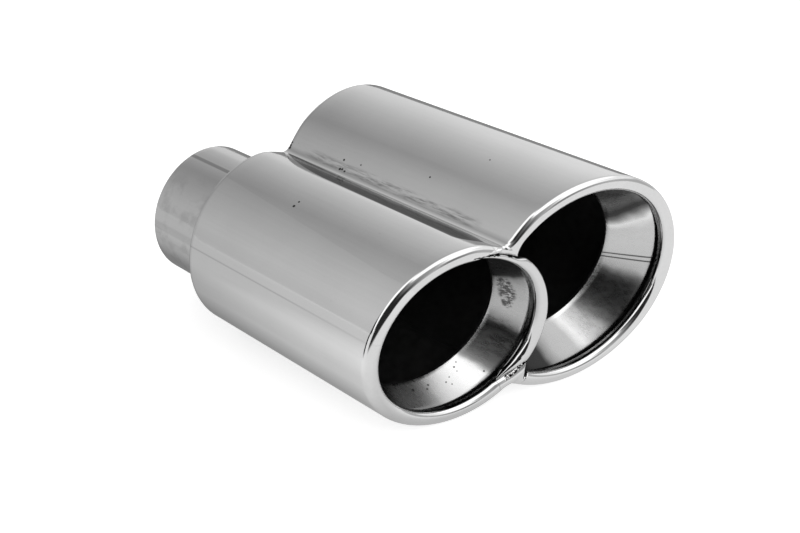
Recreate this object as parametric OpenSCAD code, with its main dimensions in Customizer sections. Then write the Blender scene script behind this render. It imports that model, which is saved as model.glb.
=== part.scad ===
// Twin exhaust tip of polished sheet steel. One waisted shell wraps a small and
// a large barrel, an inlet pipe enters behind the small one, and a liner ring
// stands back inside each slanted mouth. Millimetres. The origin is the centre
// of the inlet's open end; the mouths face -Y and the barrels lie along Y.

/* [Barrels] */
// Outside diameter of the small barrel
small_d = 76; // [72:1:80]
// Outside diameter of the large barrel
large_d = 90; // [86:1:96]
// Sideways distance between the two barrel axes
barrel_pitch = 50; // [47:1:54]
// Length of the shell along the small barrel's axis
shell_len = 108; // [80:1:160]
// Thickness of the shell, divider, liner and pipe sheet
sheet_t = 1.2; // [0.8:0.1:1.6]

/* [Waist] */
// Radius of the valley between the barrels
waist_r = 5; // [4:0.5:8]
// How far the top valley is pressed in below the round barrels
waist_press = 1.4; // [0.5:0.1:1.8]
// Sideways reach of that pressing to each side of the valley
waist_reach = 14; // [10:1:18]

/* [Mouths] */
// Angle by which the mouths run forward toward the large barrel
mouth_sweep = 17; // [8:1:22]
// Angle by which the mouths run forward toward the top
mouth_lean = 3; // [0:1:8]
// Width of the rounded lip around each mouth
lip_w = 6; // [5:0.5:8]
// How far the lip's crest stands in front of its inner edge
lip_h = 2.6; // [2:0.1:3.2]
// How far the lip's inner edge turns back into the mouth
lip_return = 1.6; // [1:0.1:2.4]

/* [Waist tongues] */
// Bearing, seen from the small axis, where the upper tongue leaves the lip
upper_root = 83; // [76:1:88]
// Bearing of the upper tongue's tip
upper_tip = 53; // [50:1:58]
// How far the upper tip stands outside the small mouth's opening
upper_rise = 2.6; // [2:0.1:3.6]
// Curve of the upper tongue's edge along the small mouth, where 1 is straight
upper_curve = 1.6; // [1:0.1:2]
// Span of the upper tongue's edge along the large mouth, seen from the large axis
upper_span = 11; // [8:1:14]
// Curve of that edge along the large mouth
upper_large_curve = 1.7; // [1:0.1:2]
// Bearing, seen from the small axis, where the lower tongue leaves the lip
lower_root = -66; // [-72:1:-62]
// Bearing of the lower tongue's bend, past the divider's end
lower_bend = -51; // [-54:1:-48]
// Bearing of the lower tongue's tip
lower_tip = -36; // [-40:1:-34]
// How far the lower bend stands outside the small mouth's opening
lower_bend_rise = 5.4; // [5:0.1:5.8]
// How far the lower tip stands outside the small mouth's opening
lower_rise = 6.6; // [6:0.1:7]
// Curve of the lower tongue's edge up to its bend, where 1 is straight
lower_curve = 1.4; // [1:0.1:2]
// Width of the open notch beside the lower tongue
notch_w = 2.4; // [1.5:0.1:3]
// Depth of that notch into the lip
notch_depth = 3; // [2:0.1:3.4]
// Height of the notch's shoulder at the tongue, as a share of that depth
notch_shoulder = 0.35; // [0.2:0.05:0.6]

/* [Divider] */
// Width of the divider strip between the mouths
divider_w = 4.7; // [4:0.1:6]
// How much wider the divider is at its foot than at its middle
divider_drop = 0.8; // [0:0.1:1.2]
// Depth of the divider's turned-back flanges behind the lip's inner edge
divider_flange = 2.4; // [1.5:0.1:3.2]
// Joint between the divider's ends and the lip
divider_joint = 0.15; // [0.1:0.05:0.3]
// How far the divider's upper end stops short of the upper tongue's root
divider_top_stop = 13; // [12:1:16]
// How far the divider's lower end stops short of the lower tongue's root
divider_foot_stop = 3.5; // [3.5:0.5:6]

/* [Liners] */
// Distance that the liners stand back from the mouths' plane
liner_setback = 4.4; // [4.2:0.1:6]
// Length of the small barrel's liner
small_liner_len = 14.5; // [11:0.5:18]
// Length of the large barrel's liner
large_liner_len = 14.5; // [11:0.5:18]
// How far the small liner's front stands outside its mouth's opening
small_liner_step = 1.8; // [1.2:0.1:2.4]
// How far the large liner's front stands outside its mouth's opening
large_liner_step = 1.5; // [1.2:0.1:2.4]
// How much the small liner's radius narrows from front to back
small_liner_taper = 3; // [1:0.1:4]
// How much the large liner's radius narrows from front to back
large_liner_taper = 8.6; // [5:0.1:10]
// How much higher the small liner's back end stands than its front
small_liner_rise = 1.6; // [0:0.1:3]
// How much higher the large liner's back end stands than its front
large_liner_rise = 2.4; // [0:0.1:4]
// Radius of the bend where each liner turns out to the shell
liner_bend_r = 2.2; // [2:0.1:3]
// Gap between the liners' turned rims and the shell, and between the liners
liner_gap = 0.3; // [0.2:0.05:0.5]
// Further gap around the turned rims, for the pressed valley
rim_gap = 0.65; // [0.65:0.05:1]

/* [Rear] */
// Bore of the inlet pipe, which slips over the tailpipe
inlet_bore_d = 54.4; // [50:0.1:60]
// Length of the inlet pipe behind the shell
inlet_len = 35; // [25:1:60]
// Length of the inlet pipe inside the shell
inlet_depth = 10; // [5:1:20]
// Radius of the shell's rear shoulder
shoulder_r = 2.2; // [1.8:0.1:3]
// Width of the shell's turned-in rear rim
rear_rim_w = 4; // [3.2:0.1:4.8]
// Thickness of the plate that closes the shell's rear
plate_t = 1.5; // [1:0.1:2.5]
// Clearance around the rear plate and around the pipe in it
weld_gap = 0.1; // [0.05:0.05:0.3]

/* [Hidden] */
small_r = small_d / 2;
large_r = large_d / 2;
// Both barrels rest on one level, so the large axis is higher.
large_z = large_r - small_r;
large_at = [barrel_pitch, large_z];
axis_span = norm(large_at);
along = large_at / axis_span;
across = [-along[1], along[0]];
small_opening_r = small_r - lip_w;
large_opening_r = large_r - lip_w;
sweep_slope = tan(mouth_sweep);
lean_slope = tan(mouth_lean);
inlet_r = inlet_bore_d / 2 + sheet_t;
rear_y = -inlet_len;
arc_step = 5;
waist_steps = 14;
divider_step = 2.5;
lip_steps = 8;
bend_steps = 4;
// Sheet thickness of a pinched lip, as a share of its width.
pinched_t = 0.3;
over = 1;
$fn = 96;

// The point at a bearing and distance from a barrel's axis.
function polar(centre, r, a) = centre + r * [cos(a), sin(a)];
function bearing(p) = atan2(p[1], p[0]);
function mix(a, b, t) = a + (b - a) * t;

// The mouths' plane, as the Y of its point over [x, z].
function mouth_y(p) = rear_y - shell_len - sweep_slope * p[0] - lean_slope * p[1];

// The centre of the valley's arc: side is 1 for the top and -1 for the bottom.
function waist_centre(side) =
    let (
        a = small_r + waist_r,
        b = large_r + waist_r,
        s = (a * a - b * b + axis_span * axis_span) / (2 * axis_span)
    )
    along * s + across * side * sqrt(a * a - s * s);

top_c = waist_centre(1);
bottom_c = waist_centre(-1);
small_top = bearing(top_c);
small_bottom = bearing(bottom_c) + 360;
large_bottom = bearing(bottom_c - large_at);
large_top = bearing(top_c - large_at);
small_steps = ceil((small_bottom - small_top) / arc_step);
large_steps = ceil((large_top - large_bottom) / arc_step);

// Points along an arc, without its last one.
function arc(centre, r, a0, a1, n) = [for (i = [0:n - 1]) polar(centre, r, mix(a0, a1, i / n))];

// The waisted outline before the valleys are pressed in, counter-clockwise.
round_outline = concat(
    arc([0, 0], small_r, small_top, small_bottom, small_steps),
    arc(bottom_c, waist_r, small_bottom - 180, large_bottom + 180, waist_steps),
    arc(large_at, large_r, large_bottom, large_top, large_steps),
    arc(top_c, waist_r, large_top + 180, small_top + 180, waist_steps)
);
count = len(round_outline);

// A point's share of the pressing, from 1 in the top valley to 0 at the reach.
function press_share(p) =
    let (d = abs((p - top_c) * along))
    d < waist_reach ? (1 + cos(180 * d / waist_reach)) / 2 : 0;
function pressed(p) = p * across > 0 ? p - across * waist_press * press_share(p) : p;
outline = [for (p = round_outline) pressed(p)];

// The inward normal at an outline point, and the outline moved inward by d.
function inward(i) =
    let (t = outline[(i + 1) % count] - outline[(i + count - 1) % count])
    [-t[1], t[0]] / norm(t);
function inset(d) = [for (i = [0:count - 1]) outline[i] + d * inward(i)];

// The two tongues reach in between the mouths, so the lip's inner edge is an
// outline of its own. These give its distance from the small axis at a bearing.
function upper_edge_r(a) =
    small_opening_r + upper_rise * pow(max(0, (upper_root - a) / (upper_root - upper_tip)), upper_curve);
function lower_edge_r(a) =
    let (to_bend = max(0, (a - lower_root) / (lower_bend - lower_root)))
    a < lower_bend
        ? small_opening_r + lower_bend_rise * pow(to_bend, lower_curve)
        : small_opening_r + mix(lower_bend_rise, lower_rise, (a - lower_bend) / (lower_tip - lower_bend));

upper_tip_at = polar([0, 0], upper_edge_r(upper_tip), upper_tip);
lower_tip_at = polar([0, 0], lower_edge_r(lower_tip), lower_tip);

// Bearings, seen from the large axis, where its lip meets tip and notch.
upper_end = bearing(upper_tip_at - large_at);
upper_start = upper_end - upper_span;
lower_end = -90 - asin((large_at[0] - lower_tip_at[0] - notch_w) / large_opening_r);
notch_corner = polar(large_at, large_opening_r, lower_end);

upper_tip_large_r = norm(upper_tip_at - large_at);
half_waist = waist_steps / 2;
upper_edge = concat(
    [
        for (i = [0:half_waist - 1])
            let (t = i / half_waist)
            polar(
                large_at,
                large_opening_r - (large_opening_r - upper_tip_large_r) * pow(t, upper_large_curve),
                mix(upper_start, upper_end, t)
            )
    ],
    [
        for (i = [0:half_waist - 1])
            let (a = mix(upper_tip, upper_root, i / half_waist))
            polar([0, 0], upper_edge_r(a), a)
    ]
);
lower_steps = waist_steps - 4;
lower_edge = concat(
    [
        for (i = [0:lower_steps])
            let (a = mix(lower_root, lower_tip, i / lower_steps))
            polar([0, 0], lower_edge_r(a), a)
    ],
    [
        [notch_corner[0] - notch_w, notch_corner[1] - notch_depth * notch_shoulder],
        [notch_corner[0] - notch_w, notch_corner[1] - notch_depth],
        [notch_corner[0], notch_corner[1] - notch_depth]
    ]
);
lip_edge = concat(
    arc([0, 0], small_opening_r, upper_root, lower_root + 360, small_steps),
    lower_edge,
    arc(large_at, large_opening_r, lower_end, upper_start, large_steps),
    upper_edge
);

// One ring of the shell's section, as [x, y, z] at outline point i. It runs from
// the rear rim's outer edge forward over the skin, around the lip and back inside.
function skin(i, d, y) = let (p = outline[i] + d * inward(i)) [p[0], y, p[1]];

// The height and sheet of a lip of width w: both shrink where it is pinched.
function crest(w) = lip_h * min(1, w / divider_w);
function thin(w) = min(sheet_t, pinched_t * w);

// A point of the lip between its inner edge p0 and its foot p1, at angle a from the
// foot: d is its depth below the outer face and back how far it lies behind the edge.
function lip(p0, p1, d, a, back = 0) =
    let (w = norm(p1 - p0), p = (p0 + p1) / 2 + (p1 - p0) * (0.5 - d / w) * cos(a))
    [p[0], mouth_y(p) - (crest(w) - d) * sin(a) + back, p[1]];
function lip_turn(p0, p1) =
    let (t = thin(norm(p1 - p0)))
    concat(
        [for (k = [0:lip_steps]) lip(p0, p1, 0, 180 * k / lip_steps)],
        [lip(p0, p1, 0, 180, lip_return), lip(p0, p1, t, 180, lip_return)],
        [for (k = [lip_steps:-1:0]) lip(p0, p1, t, 180 * k / lip_steps)]
    );
function section(i) =
    concat(
        [skin(i, rear_rim_w, rear_y)],
        [
            for (k = [0:bend_steps])
                let (a = 90 * k / bend_steps)
                skin(i, shoulder_r * (1 - sin(a)), rear_y - shoulder_r * (1 - cos(a)))
        ],
        lip_turn(lip_edge[i], outline[i]),
        [skin(i, sheet_t, rear_y - shoulder_r), skin(i, shoulder_r, rear_y - sheet_t)],
        [skin(i, rear_rim_w, rear_y - sheet_t)]
    );

// A skin of quads between rings of equal length; ends are closed if closed is false.
function loop_faces(rings, n, closed) = [
    for (i = [0:rings - (closed ? 1 : 2)], k = [0:n - 1])
        let (j = (i + 1) % rings, m = (k + 1) % n)
        each [[i * n + k, j * n + m, j * n + k], [i * n + k, i * n + m, j * n + m]]
];

module outer_shell() {
    rings = [for (i = [0:count - 1]) section(i)];
    color("silver")
    polyhedron(
        points = [for (r = rings) each r],
        faces = loop_faces(count, len(rings[0]), true),
        convexity = 10
    );
}

// The divider's outer radius: free in the middle, and a joint's width inside the
// tongues at its ends.
function divider_free_r(a) = small_opening_r + divider_w - divider_drop * sin(a);
function divider_r(a) =
    a >= upper_tip ? upper_edge_r(a) - divider_joint
    : a < lower_tip ? min(divider_free_r(a), lower_edge_r(a) - divider_joint)
    : divider_free_r(a);
function divider_section(a) =
    let (
        p0 = polar([0, 0], small_opening_r, a),
        p1 = polar([0, 0], divider_r(a), a),
        t = thin(norm(p1 - p0))
    )
    concat(
        [lip(p0, p1, 0, 0, divider_flange)],
        [for (k = [0:lip_steps]) lip(p0, p1, 0, 180 * k / lip_steps)],
        [lip(p0, p1, 0, 180, divider_flange), lip(p0, p1, t, 180, divider_flange)],
        [for (k = [lip_steps:-1:0]) lip(p0, p1, t, 180 * k / lip_steps)],
        [lip(p0, p1, t, 0, divider_flange)]
    );

// Triangles over the divider's U-shaped end, as a strip between its two faces.
u_points = 2 * (lip_steps + 3);
u_end = [
    for (k = [0:lip_steps + 1])
        each [[k, u_points - 1 - k, k + 1], [k + 1, u_points - 1 - k, u_points - 2 - k]]
];

// Bearings from a0 to a1 in even steps, without the last one.
function bearings(a0, a1) =
    let (n = ceil((a1 - a0) / divider_step))
    [for (i = [0:n - 1]) mix(a0, a1, i / n)];

module mouth_divider() {
    last = upper_root - divider_top_stop;
    stops = concat(bearings(lower_root + divider_foot_stop, upper_tip), bearings(upper_tip, last), [last]);
    rings = [for (a = stops) divider_section(a)];
    n = len(rings[0]);
    far = n * (len(rings) - 1);
    ends = concat(u_end, [for (f = u_end) [f[2] + far, f[1] + far, f[0] + far]]);
    color("gainsboro")
    polyhedron(
        points = [for (r = rings) each r],
        faces = concat(loop_faces(len(rings), n, false), ends),
        convexity = 10
    );
}

// Turns a shape made about Z to lie about Y, leans its rings with the mouths and
// raises them by a slope that starts at the setback.
module in_mouth(centre, slope) {
    translate([centre[0], mouth_y(centre), centre[1] - slope * liner_setback])
    multmatrix([[1, 0, 0, 0], [-sweep_slope, 1, -lean_slope, 0], [0, slope, 1, 0], [0, 0, 0, 1]])
    rotate([-90, 0, 0])
    children();
}

// A liner's half section: a tapered wall whose back bends out to a flat rim.
module liner_section(front_r, taper, len, rim_r) {
    back_r = front_r - taper;
    back = liner_setback + len;
    bend = [for (k = [0:bend_steps]) 90 * k / bend_steps];
    inside = [for (a = bend) [back_r + liner_bend_r * (1 - cos(a)), back + liner_bend_r * sin(a)]];
    outside = [
        for (k = [bend_steps:-1:0])
            let (a = bend[k], r = liner_bend_r - sheet_t)
            [back_r + liner_bend_r - r * cos(a), back + r * sin(a)]
    ];
    polygon(
        concat(
            [[front_r + sheet_t, liner_setback], [front_r, liner_setback]],
            inside,
            [[rim_r, back + liner_bend_r], [rim_r, back + liner_bend_r - sheet_t]],
            outside
        )
    );
}

// A turned rim's radius: it clears the pressed valley on the side that the liner
// rises to.
function rim_r(barrel_r, len, slope) =
    barrel_r - sheet_t - liner_gap - rim_gap - slope * (len + liner_bend_r);
small_liner_slope = small_liner_rise / small_liner_len;
large_liner_slope = large_liner_rise / large_liner_len;
small_rim_r = rim_r(small_r, small_liner_len, small_liner_slope);
large_rim_r = rim_r(large_r, large_liner_len, large_liner_slope);

module small_liner() {
    color("lightgray")
    in_mouth([0, 0], small_liner_slope)
    rotate_extrude()
    liner_section(small_opening_r + small_liner_step, small_liner_taper, small_liner_len, small_rim_r);
}

// Half the angle that the small barrel takes out of a large circle of radius r.
function cut_half(r) = acos((r * r - small_r * small_r + axis_span * axis_span) / (2 * axis_span * r));

module large_liner() {
    front_r = large_opening_r + large_liner_step;
    half = max(cut_half(front_r + sheet_t), cut_half(front_r - large_liner_taper));
    color("lightgray")
    in_mouth(large_at, large_liner_slope)
    rotate([0, 0, 180 - bearing(along) + half])
    rotate_extrude(angle = 360 - 2 * half)
    liner_section(front_r, large_liner_taper, large_liner_len, large_rim_r);
}

module rear_plate() {
    color("darkgray")
    translate([0, rear_y - sheet_t, 0])
    rotate([90, 0, 0])
    linear_extrude(plate_t)
    difference() {
        polygon(inset(shoulder_r + weld_gap));
        circle(inlet_r + weld_gap);
    }
}

module inlet_pipe() {
    length = inlet_len + inlet_depth;
    color("silver")
    rotate([90, 0, 0])
    difference() {
        cylinder(r = inlet_r, h = length);
        translate([0, 0, -over])
        cylinder(d = inlet_bore_d, h = length + 2 * over);
    }
}

outer_shell();
mouth_divider();
small_liner();
large_liner();
rear_plate();
inlet_pipe();
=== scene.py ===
"""The twin exhaust tip on a white floor, dressed around its CAD frame.

Sizes are in millimetres, as in the part's own source, and MM turns them into the scene's
metres. The mouths face -Y and the barrels lie along Y. Bearings are in degrees around a
barrel's axis, from +X toward +Z.
"""
import math

import bpy
from mathutils import Matrix, Vector, noise


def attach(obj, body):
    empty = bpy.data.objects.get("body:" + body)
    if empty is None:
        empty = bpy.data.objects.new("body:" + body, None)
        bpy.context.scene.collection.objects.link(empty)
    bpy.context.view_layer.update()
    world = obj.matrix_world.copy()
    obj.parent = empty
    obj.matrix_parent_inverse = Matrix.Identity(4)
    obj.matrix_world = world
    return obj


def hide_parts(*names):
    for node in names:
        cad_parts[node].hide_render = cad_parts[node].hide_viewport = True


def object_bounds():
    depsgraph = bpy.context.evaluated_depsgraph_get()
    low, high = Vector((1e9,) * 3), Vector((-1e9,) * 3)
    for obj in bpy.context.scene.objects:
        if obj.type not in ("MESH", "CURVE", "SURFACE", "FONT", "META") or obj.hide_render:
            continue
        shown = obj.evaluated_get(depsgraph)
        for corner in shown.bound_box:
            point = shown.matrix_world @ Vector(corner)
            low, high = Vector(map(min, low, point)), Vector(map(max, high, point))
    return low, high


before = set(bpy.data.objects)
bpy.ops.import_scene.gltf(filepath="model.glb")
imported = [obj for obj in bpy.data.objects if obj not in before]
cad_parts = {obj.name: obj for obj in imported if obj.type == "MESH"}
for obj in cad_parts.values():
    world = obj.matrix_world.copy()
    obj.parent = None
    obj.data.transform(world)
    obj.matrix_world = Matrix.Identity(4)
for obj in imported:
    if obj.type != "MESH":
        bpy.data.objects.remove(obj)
cad_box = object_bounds()
MM = 0.001

# Barrels and waist
SMALL_R = 38.0
LARGE_R = 45.0
LARGE_AT = Vector((50.0, LARGE_R - SMALL_R))
REAR_Y = -35.0
SHELL_LEN = 108.0
SHEET = 1.2
WAIST_R = 5.0
WAIST_PRESS = 1.4
WAIST_REACH = 14.0
# Half of each waist's arc, and of the lips' edge across from it, in points a degree apart
WAIST_POINTS = 35
SHOULDER_R = 2.2
REAR_RIM_W = 4.0
# The solid's outline is a polygon on these curves, so the dressed skin lies a hair inside.
SKIN_IN = 0.04

# Mouths and lips
SWEEP = math.tan(math.radians(17))
LEAN = math.tan(math.radians(3))
LIP_W = 6.0
LIP_H = 2.6
LIP_RETURN = 1.6
SMALL_OPENING_R = SMALL_R - LIP_W
LARGE_OPENING_R = LARGE_R - LIP_W
# The tongues where the lips meet: their bearings, and how far their edges leave the opening
UPPER_ROOT, UPPER_TIP, UPPER_RISE = 91.0, 54.5, 2.6
LOWER_ROOT, LOWER_BEND, LOWER_TIP = -59.0, -45.0, -35.0
LOWER_BEND_RISE, LOWER_RISE = 2.6, 4.8
# How far the large lip's outer side is drawn in, and between which bearings
LIP_TUCK = 1.2
TUCK_FROM, TUCK_TO = -35.0, 75.0
# The bearings over which the large lip's edge bends into the upper tongue, and the lower
# tongue's share of the points across from the waist, before the notch beside it
UPPER_BEND = 11.0
LOWER_SHARE = 10 / 14
NOTCH_W = 1.4
NOTCH_DEPTH = 1.2

# Divider: its width and how much less that is toward the top, its flange, the joint beside
# it, and over how many degrees its ends ease in
DIVIDER_W = 4.7
DIVIDER_DROP = 0.8
DIVIDER_FLANGE = 2.4
DIVIDER_JOINT = 0.3
DIVIDER_EASE = 8.0
DIVIDER_FIRST = LOWER_ROOT + 4
DIVIDER_LAST = UPPER_ROOT - 2.5

# Weld at the divider's foot: its bearings, the radius at both, half width and height
WELD_FIRST, WELD_LAST = -52.5, -34.5
WELD_R = (33.7, 36.2)
WELD_HALF = 0.85
WELD_H = 0.5
# The lip below it: its foot's radius, how far the bead spreads on it, how deep it sits
WELD_LIP_R = 37.0
WELD_SPREAD = 1.1
WELD_LEVEL = 0.75

# Liners
SETBACK = 4.4
BEND_R = 2.2
LINER_LEN = 14.5
SMALL_LINER = {"front": SMALL_OPENING_R + 1.8, "taper": 3.0, "rise": 1.6, "barrel": SMALL_R}
LARGE_LINER = {"front": LARGE_OPENING_R + 1.5, "taper": 8.6, "rise": 2.4, "barrel": LARGE_R}
# From a liner's rim to its barrel's wall, the room of a weld
RIM_GAP = 0.86
LINER_EASE = 0.3
# The strips of a liner's section that are drawn and bright, counted from its front
LINER_FACE = range(1, 12)

# Light: what the steel mirrors, by the angle in degrees about Y from +X over the top to -X
TENT_RIGHT = 0.80
TENT_LEFT = 0.56
TENT_TONES = [(22, 0.76), (50, 0.58), (75, 0.42), (90, 0.35), (113, 0.42), (140, 0.52), (160, 0.58)]
# The bright panels, and the right end of the one in front
TENT_PANEL = 1.25
TENT_SIDE = 0.9
# The dark edge above the floor in front, from its middle to the right
TENT_EDGE = (0.15, 0.45)
# The dark gap in front on the left, from its far side toward the middle
TENT_GAP = (0.02, 0.34)

# Floor, in metres: its half size, its own white, and the glow that only the camera sees
FLOOR_HALF = 3.0
FLOOR_WHITE = 0.8
FLOOR_GLOW = 0.68
# What the steel mirrors of it: in front, then beside the part and close to it, where shadow is
# painted, how much more by the mouths, and how much under the part, also painted shadow
FLOOR_FRONT = 0.80
FLOOR_REAR = 0.64
FLOOR_NEAR = 0.46
FLOOR_GAIN = 1.4
FLOOR_UNDER = 0.55
# Dark wedges of the floor on the left: the point they fan out from, each one's turn in
# degrees from -X toward -Y and half its span
GAP_AT = (-0.04, -0.135)
GAP_TURNS = [(-18, 9), (44, 24)]

# The dark stripe in the upper valley, a painted dark reflection: its tones from the lower edge
# to the upper one, and the stretches of Y where it closes up, toward the rear and toward the front
VALLEY_REFLECTION_TONES = (0.16, 0.09)
VALLEY_REAR = (-38.0, -74.0)
VALLEY_FRONT = (-136.0, -145.0)
# Its edges, across from the valley's middle: the lower one between those stretches and its
# rise over each of them, the upper one from Y to Y and its drop over the front one
VALLEY_LOWER = (-10.9, -12.0)
VALLEY_LOWER_RISE = (10.4, 7.0)
VALLEY_UPPER = (-40.0, -110.0, -0.3, -2.4)
VALLEY_UPPER_DROP = -2.0
# The rubbed band on the large barrel's flank: across from the valley's middle, half width
RUBBED_AT = 3.0
RUBBED_HALF = 2.2
# The skin's tone from Y to Y, painted light brighter toward the mouths, the bearing of a soft step
# in it from Y to Y beyond which lies a painted lighter band, and the crease's bearing, with painted shade
SKIN_LIGHT_FALLOFF = (-150.0, -45.0, 1.10, 0.90)
STEP_LINE = (-38.0, -129.0, 117.0, 128.0)
CREASE = 164.2
# The open seam at the divider's upper end: its radius by bearing on the divider, then on
# the skin, the bearings between the two, how far it strays, its half width and its spans
CRACK_PATH = (59.0, 77.0, 33.95, 32.8)
CRACK_OUTER_R = 33.6
CRACK_STEP = (78.5, 81.0)
CRACK_RAGGED = 0.22
CRACK_HALF = 0.25
CRACK_SPANS = [(57, 61.5), (66.5, 89)]
# Painted reflections on the inlet pipe: lengthwise bands as bearing, half width and tone
PIPE_REFLECTION_BANDS = [(102.5, 2.5, 0.56), (92, 12.0, 0.86), (172, 5.0, 0.85), (196, 30.0, 1.14)]

# Sleeves: their roughness, and their painted reflections as tones by bearing around their own axes
SLEEVE_GLOSS = 0.28
SMALL_REFLECTIONS = [
    (-122, 0.12), (-114, 0.22), (-97, 0.24), (-90, 0.32), (-86, 0.45), (-72, 0.75), (-60, 1.0), (-53, 1.0),
    (-50, 0.34), (-43, 0.32), (-34, 0.50), (-24, 0.12), (-21, 0.18), (-18, 0.66), (-5, 0.62),
    (12, 0.60), (17, 0.42), (20, 0.06), (34, 0.04), (42, 0.03),
]
LARGE_REFLECTIONS = [
    (-108, 0.03), (-104, 0.05), (-94, 0.05), (-90, 0.26), (-83, 0.44), (-72, 0.50), (-66, 1.0), (-53, 1.0),
    (-48, 0.50), (-42, 0.24), (-24, 0.10), (-19, 0.2), (-14, 0.64), (-2, 0.70), (16, 0.72), (21, 1.0),
    (24, 0.60), (28, 0.22), (31, 0.07), (34, 0.07), (39, 0.24), (43, 0.34), (49, 0.18),
]
# The large sleeve's seam: its bearing at two values of Y, and half the gap of its two lines
LARGE_SEAM = {"front": -166, "rear": -150, "at_front": -3.3, "at_rear": -5.2, "half": 1.4}
# Small dark specks, and patches of fine pitting, as x, y, z and radius
SKIN_SPECKS_AND_SHADOW = [
    (18.9, -66.0, 38.4, 0.5), (16.3, -66.3, 35.4, 0.6), (16.5, -67.4, 35.6, 0.5), (16.2, -69.0, 35.3, 0.5),
    (-16.2, -75.4, 34.3, 0.6), (-13.9, -75.7, 35.3, 0.45), (23.5, -107.0, 43.1, 0.4),
    (19.4, -74.9, 38.9, 0.35), (38.3, -123.1, 50.4, 0.35),
    # The last three are painted shadow in the dark gap at the rear end of the valley
    (16.2, -36.9, 35.4, 0.7), (17.0, -36.7, 36.2, 0.6), (17.9, -36.7, 37.2, 0.5),
]
LINER_SPECKS = [
    (8.0, -131.5, -30.3, 0.35), (10.2, -131.1, -29.2, 0.3), (14.0, -130.2, -26.9, 0.4),
    (13.7, -132.0, -27.8, 0.25), (9.0, -133.7, -30.6, 0.3), (19.6, -140.5, -26.6, 0.4),
    (-4.4, -125.7, -30.3, 0.5), (2.1, -127.5, -30.5, 0.45), (0.5, -128.5, -31.1, 0.45),
    (15.7, -129.7, -25.7, 0.3),
]
LINER_PITS = [(31.3, -138.6, 6.3, 3.6), (31.6, -139.8, 3.0, 4.0), (32.0, -140.0, -1.0, 2.6)]

# How far the painted reflection tones of a sleeve's roof turn, in degrees, at its front and at its rear
ROOF_SLANT = (-6.0, 5.0)
# The painted highlight along each sleeve's rear bend: its depths, then bearing and half span
GLINT_FROM, GLINT_TO = 17.4, 19.6
SMALL_GLINT = (-28, 22)
LARGE_GLINT = (-32, 26)

# Inlet pipe
INLET_BORE_R = 27.2
INLET_LEN = 35.0
INLET_DEPTH = 10.0
INLET_EASE = 0.35

# The photograph's view: its turn and the point it looks at, then how far the camera stands
# from that point to the right, up and back
CAMERA_AZIMUTH = math.radians(-47.2944)
CAMERA_ELEVATION = math.radians(30.4945)
CAMERA_ROLL = math.radians(0.7032)
CAMERA_AIM = Vector((25, -67, 0))
CAMERA_OFFSET = (17.52, -10.72, 441.33)
CAMERA_LENS = 47.89
CAMERA_SENSOR = 36

ALONG = LARGE_AT.normalized()
ACROSS = Vector((-ALONG.y, ALONG.x))
SPAN = LARGE_AT.length


def mix(a, b, t):
    return a + (b - a) * t


def polar(centre, r, degrees):
    """The [x, z] point at a bearing and distance from a barrel's axis."""
    a = math.radians(degrees)
    return Vector((centre[0] + r * math.cos(a), centre[1] + r * math.sin(a)))


def bearing(p):
    return math.degrees(math.atan2(p[1], p[0]))


def mouth_y(p):
    """The Y of the plane of the lips' inner edges, over a point [x, z]."""
    return REAR_Y - SHELL_LEN - SWEEP * p[0] - LEAN * p[1]


def arc(centre, r, a0, a1, n):
    """Points along an arc, without its last one."""
    return [polar(centre, r, mix(a0, a1, i / n)) for i in range(n)]


def waist_centre(side):
    """The centre of the valley's arc: side is 1 for the top and -1 for the bottom."""
    a = SMALL_R + WAIST_R
    b = LARGE_R + WAIST_R
    s = (a * a - b * b + SPAN * SPAN) / (2 * SPAN)
    return ALONG * s + ACROSS * side * math.sqrt(a * a - s * s)


def pressed(p, top):
    """A point of the outline, with the top valley pressed in."""
    reach = abs((p - top).dot(ALONG)) / WAIST_REACH
    if p.dot(ACROSS) <= 0 or reach >= 1:
        return p
    return p - ACROSS * WAIST_PRESS * (1 + math.cos(math.pi * reach)) / 2


def upper_edge_r(a):
    """The distance from the small barrel's axis to the upper tongue's edge at a bearing."""
    share = max(0.0, (UPPER_ROOT - a) / (UPPER_ROOT - UPPER_TIP))
    return SMALL_OPENING_R + min(1.0, 12 * share) + (UPPER_RISE - 1.0) * share


def lower_edge_r(a):
    """The distance from the small barrel's axis to the lower tongue's edge at a bearing."""
    if a < LOWER_BEND:
        share = max(0.0, (a - LOWER_ROOT) / (LOWER_BEND - LOWER_ROOT))
        return SMALL_OPENING_R + LOWER_BEND_RISE * share ** 1.6
    share = (a - LOWER_BEND) / (LOWER_TIP - LOWER_BEND)
    return SMALL_OPENING_R + mix(LOWER_BEND_RISE, LOWER_RISE, share)


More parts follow.
